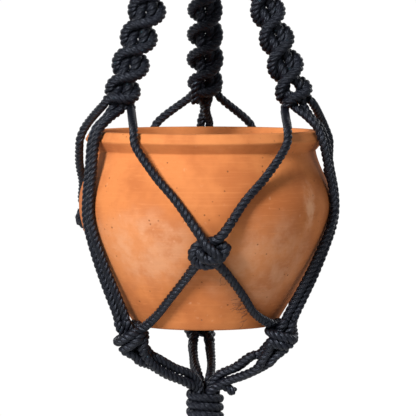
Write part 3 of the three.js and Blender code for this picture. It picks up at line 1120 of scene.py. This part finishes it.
class PLANTER_OT_stage(PlanterOperator):
    """Set up the camera, the floor and the soft studio light"""

    bl_idname = "planter.stage"
    bl_label = "Stage"

    def execute(self, context):
        settings = context.scene.planter_stage
        scene = context.scene
        data = bpy.data.cameras.new("camera")
        data.angle = settings.view
        data.clip_end = 50
        camera = linked("camera", data)
        camera.location = (CAMERA_TARGET[0], -settings.distance, FOOT + POT_HEIGHT + settings.rise)
        aim(camera, CAMERA_TARGET)
        scene.camera = camera

        work = bmesh.new()
        bmesh.ops.create_grid(work, x_segments=1, y_segments=1, size=FLOOR_HALF)
        bmesh.ops.translate(work, verts=work.verts, vec=(0, 0, FOOT - settings.floor_drop))
        floor = mesh_object("floor", work)
        paint = Paint("pale_floor")
        (place,) = paint.coordinates("Object")
        colour = paint.blend(paint.noise(place, 3.0), (0.80, 0.79, 0.77), (0.84, 0.83, 0.81))
        floor.data.materials.append(paint.shade(Base_Color=colour, Roughness=0.7))

        for name, lamp in LAMPS.items():
            self.light(name, *lamp)
        self.world(scene)
        scene.view_settings.view_transform = "Standard"
        return {"FINISHED"}

    @staticmethod
    def light(name, place, size, power, colour):
        data = bpy.data.lights.new(name, "AREA")
        data.shape = "DISK"
        data.size = size
        data.energy = power
        data.color = colour
        lamp = linked(name, data)
        lamp.location = place
        aim(lamp, (0, 0, FOOT + POT_HEIGHT / 2))

    @staticmethod
    def world(scene):
        """A white backdrop that lights the object only a little."""
        world = bpy.data.worlds.new("studio")
        scene.world = world
        world.use_nodes = True
        tree = world.node_tree
        seen = tree.nodes["Background"]
        lit = tree.nodes.new("ShaderNodeBackground")
        for background, strength in ((seen, BACKDROP_SEEN), (lit, BACKDROP_LIGHT)):
            background.inputs["Color"].default_value = (1, 1, 1, 1)
            background.inputs["Strength"].default_value = strength
        rays = tree.nodes.new("ShaderNodeLightPath")
        chosen = tree.nodes.new("ShaderNodeMixShader")
        tree.links.new(rays.outputs["Is Camera Ray"], chosen.inputs[0])
        tree.links.new(lit.outputs[0], chosen.inputs[1])
        tree.links.new(seen.outputs[0], chosen.inputs[2])
        tree.links.new(chosen.outputs[0], tree.nodes["World Output"].inputs["Surface"])


class PLANTER_OT_tassel(PlanterOperator):
    """Hang the twelve free cords of the tassel below the bottom wrap"""

    bl_idname = "planter.tassel"
    bl_label = "Tassel"

    def execute(self, context):
        ropes = RopeWork()
        material = rope_paint("tassel_rope", context.scene.planter_rope)
        for index, (azimuth, radius, spread, drift, length) in enumerate(TAILS):
            name = f"tassel_cord_{index + 1}"
            points = [outward(azimuth) * radius * 0.6 + np.array([0, 0, WRAP_FOOT + 0.007])]
            for share in TAIL_SHARES:
                reach = radius + spread * math.sin(share * math.pi / 2) ** 2
                drop = WRAP_FOOT - SEAM_GAP - length * share
                points.append(outward(azimuth + drift * share**2) * reach + np.array([0, 0, drop]))
            piece = name.replace("cord", "rope")
            path = ropes.run([(piece, points, 1.0)], phase=1.3 * index, flare=0.45)
            obj = ropes.piece(piece, [name], material)
            [list(point) for point in path[::3]] + [list(path[-1])]
        return {"FINISHED"}


class PLANTER_OT_hanger(PlanterOperator):
    """Work the arms, the net around the pot and its knots from twelve legs of rope"""

    bl_idname = "planter.hanger"
    bl_label = "Arms, net and knots"

    def execute(self, context):
        ropes = RopeWork()
        nodes = {}
        for knot_name, knot in CROSSINGS.items():
            for arm_name, way in ((knot["start"], 1), (knot["stop"], -1)):
                each = ARMS[arm_name]
                upper = f"{arm_name}_to_{knot_name}"
                lower = f"{knot_name}_to_{arm_name}"
                stretches = [
                    (f"{arm_name}_arm", sinnet_leg(each, way * 1.5), ARM_SWELL),
                    (f"{upper}_rope", upper_diagonal(each, knot, way), 1.0),
                    (f"{knot_name}_knot", crossing_passage(knot, way), KNOT_SWELL),
                    (f"{lower}_rope", lower_diagonal(each, knot), 1.0),
                    *gathered(arm_name, way, 1),
                ]
                ropes.run(stretches, phase=way + each["azimuth"])
                nodes[f"{upper}_rope"] = [f"{upper}_cord"]
                nodes[f"{lower}_rope"] = [f"{lower}_cord"]
            nodes[f"{knot_name}_knot"] = [f"{knot_name}_crossing_knot"]
        for arm_name, each in ARMS.items():
            for number, way in ((1, -1), (2, 1)):
                side = f"{arm_name}_side_rope_{number}"
                stretches = [
                    (f"{arm_name}_arm", sinnet_leg(each, way * 0.5), ARM_SWELL),
                    (side, side_cord(each, way), 1.0),
                    *gathered(arm_name, way, -1),
                ]
                ropes.run(stretches, phase=2.2 * way + each["azimuth"])
                nodes[side] = [f"{arm_name}_side_cord_{number}"]
            nodes[f"{arm_name}_arm"] = [f"arm_{arm_name}"]
            nodes[f"{arm_name}_gathering_knot"] = [f"{arm_name}_lower_knot"]
            nodes[f"{arm_name}_cradle"] = [f"{arm_name}_cradle_cord_{number}" for number in (1, 2, 3, 4)]
        material = rope_paint("dark_silky_rope", context.scene.planter_rope)
        for name, members in nodes.items():
            ropes.piece(name, members, material)
        return {"FINISHED"}


class PLANTER_OT_wraps(PlanterOperator):
    """Wind the two wraps, and fold the legs over the ring"""

    bl_idname = "planter.wraps"
    bl_label = "Wraps and folds"

    def execute(self, context):
        ropes = RopeWork()
        material = rope_paint("wrapping_rope", context.scene.planter_rope, 1.1)
        for name, low, high, phase in (
            ("top_wrap", TOP_WRAP_FOOT, TOP_WRAP_TOP, 0.4),
            ("bottom_wrap", WRAP_FOOT, BOTTOM_WRAP_TOP, 2.0),
        ):
            turns = round((high - low) / ROPE)
            radius = WRAP_RADIUS - ROPE_RADIUS
            points = []
            for step in range((turns - 1) * WRAP_STEPS + 1):
                share = step / WRAP_STEPS
                level = low + ROPE_RADIUS + share * (high - low - ROPE) / (turns - 1)
                angle = -2 * math.pi * share + phase
                points.append(np.array([radius * math.cos(angle), radius * math.sin(angle), level]))
            tucked_in = points[-1] * [0.35, 0.35, 1] - [0, 0, 0.004]
            piece = name + "_rope"
            ropes.run([(piece, [*points, tucked_in], 1.0)], phase=phase)
            ropes.piece(piece, [name], material, "wrap_rope")

        for index, side in enumerate(("left", "centre", "right")):
            name = f"fold_{side}_ropes"
            for layer in (0, 1):
                path = fold_path((index - 1) * SIDE_BY_SIDE, layer)
                ropes.run([(name, path, 1.0)], phase=index + 2.0 * layer)
            ropes.piece(name, [f"fold_{side}"], material)
        return {"FINISHED"}


class PLANTER_OT_loose_ends(PlanterOperator):
    """Leave the cut ends, a looped filament and the fuzz that stand out from the cords"""

    bl_idname = "planter.loose_ends"
    bl_label = "Loose ends"

    def execute(self, context):
        ropes = RopeWork()
        material = rope_paint("loose_rope", context.scene.planter_rope)
        _, finish, along, side = arm_line(ARMS["back"])
        out = np.cross(along, side)
        stub = [finish + along * level + side * across + out * deep for level, across, deep in STUB]
        ropes.run([("cut_ends", stub, 1.1)], phase=0.5)
        end = [np.array([x, y, BOTTOM_WRAP_TOP + z]) for x, y, z in CUT_END]
        ropes.run([("cut_ends", end, 1.0)], phase=2.5, flare=0.5)
        ropes.piece("cut_ends", [], material)

        random = np.random.default_rng(7)
        curve = round_curve("fuzz", FILAMENT_RADIUS, 1)

        def filament(points):
            add_spline(curve, smooth_path(points, FILAMENT_STEP)[0])

        # One filament stands up from the front right cord in a loop.
        flat, away = sideways(281), outward(281)
        middle = resting(281, 0.047, 0.001) + flat * -0.003 + away * 0.002 + [0, 0, 0.0005]
        turns = np.linspace(0.4, 6.4, 12)
        filament([middle + flat * 0.0026 * math.cos(a) + [0, 0, 0.0034 * math.sin(a)] for a in turns])
        # Lower down the same cord is worn to a tuft of short ones.
        flat, away = sideways(294), outward(294)
        middle = resting(294, 0.026, 0.001)
        reach = 0.006
        for _ in range(26):
            start = middle + flat * random.normal(0, 0.004) + [0, 0, random.normal(0, 0.006)]
            turn = random.uniform(2.4, 4.2)
            drift = flat * math.cos(turn) - np.array([0, 0, abs(math.sin(turn))])
            bend = flat * random.normal(0, 0.002) + away * random.uniform(0.0005, 0.003)
            filament([start, start + drift * reach * 0.5 + bend, start + drift * reach])
        # The rest stand out from the arms and the crossing knots.
        names = [f"{arm}_arm" for arm in ARMS] + [f"{name}_knot" for name in CROSSINGS]
        hosts = [obj for obj in context.scene.objects if obj.name in names]
        for index in range(context.scene.planter_rope.filaments):
            host = hosts[index % len(hosts)].data
            vert = host.vertices[int(random.integers(len(host.vertices)))]
            start, normal = np.array(vert.co), np.array(vert.normal)
            loose = random.normal(0, 0.002, 3)
            filament([start, start + normal * 0.0012 + loose * 0.5, start + normal * 0.0008 + loose])
        fuzz = linked("loose_filaments", tube_mesh(curve))
        shade_smooth(fuzz.data)
        dress(fuzz, material, "hanger")
        return {"FINISHED"}


class PLANTER_OT_pot(PlanterOperator):
    """Turn the terracotta pot"""

    bl_idname = "planter.pot"
    bl_label = "Pot"

    def execute(self, context):
        settings = context.scene.planter_pot
        work = bmesh.new()
        verts = [work.verts.new((radius, 0, FOOT + height)) for radius, height in pot_profile()]
        for pair in zip(verts, [*verts[1:], verts[0]]):
            work.edges.new(pair)
        spin(work, (0, 0, 0), (0, 0, 1), settings.segments)
        # The wall is a little uneven, and the edge of the foot is chipped.
        for vert in work.verts:
            turned = Vector((vert.co.x, vert.co.y, 0)).normalized()
            uneven = noise.noise(vert.co * 14) * 0.00028
            chip = max(0.0, noise.noise(vert.co * 95 + Vector((3, 1, 4))) - 0.42)
            edge = max(0.0, 1 - (vert.co.z - FOOT) / 0.005)
            vert.co += turned * (uneven - 0.0042 * chip * edge)
        pot = mesh_object("terracotta_pot", work)
        shade_smooth(pot.data)
        dress(pot, clay_paint(settings), "pot")
        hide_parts("pot")
        return {"FINISHED"}


class PLANTER_OT_ring(PlanterOperator):
    """Bend the steel ring that the planter hangs by"""

    bl_idname = "planter.ring"
    bl_label = "Ring"

    def execute(self, context):
        settings = context.scene.planter_ring
        middle = Vector((0, 0, (RING_TOP + RING_FOOT) / 2))
        radius = (RING_TOP - RING_FOOT) / 2 - WIRE_RADIUS
        work = bmesh.new()
        circle = bmesh.ops.create_circle(work, segments=20, radius=WIRE_RADIUS)
        bmesh.ops.translate(work, verts=circle["verts"], vec=middle + Vector((radius, 0, 0)))
        spin(work, middle, (0, 1, 0), settings.segments)
        ring = mesh_object("steel_ring", work)
        shade_smooth(ring.data)
        dress(ring, steel_paint(settings), "ring")
        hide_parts("hanging_ring")
        return {"FINISHED"}


class PLANTER_PT_panel(bpy.types.Panel):
    bl_label = "Macrame planter"
    bl_space_type = "VIEW_3D"
    bl_region_type = "UI"
    bl_category = "Planter"

    def draw(self, context):
        for operator in OPERATORS:
            self.layout.operator(operator.bl_idname)
        for name in SETTINGS:
            group = getattr(context.scene, name)
            box = self.layout.box()
            for key in group.__annotations__:
                box.prop(group, key)


SETTINGS = {
    "planter_rope": RopeSettings,
    "planter_pot": PotSettings,
    "planter_ring": RingSettings,
    "planter_stage": StageSettings,
}
OPERATORS = [
    PLANTER_OT_stage,
    PLANTER_OT_tassel,
    PLANTER_OT_hanger,
    PLANTER_OT_wraps,
    PLANTER_OT_loose_ends,
    PLANTER_OT_pot,
    PLANTER_OT_ring,
]
CLASSES = [*SETTINGS.values(), *OPERATORS, PLANTER_PT_panel]


def register():
    for each in CLASSES:
        bpy.utils.register_class(each)
    for name, group in SETTINGS.items():
        setattr(bpy.types.Scene, name, PointerProperty(type=group))


def unregister():
    for name in SETTINGS:
        delattr(bpy.types.Scene, name)
    for each in reversed(CLASSES):
        bpy.utils.unregister_class(each)


def main():
    for extra in ("Cube", "Light", "Camera"):
        if extra in bpy.data.objects:
            bpy.data.objects.remove(bpy.data.objects[extra])
    register()
    bpy.ops.planter.stage()
    bpy.ops.planter.tassel()
    bpy.ops.planter.hanger()
    bpy.ops.planter.wraps()
    bpy.ops.planter.loose_ends()
    bpy.ops.planter.pot()
    bpy.ops.planter.ring()


if __name__ == "__main__":
    main()
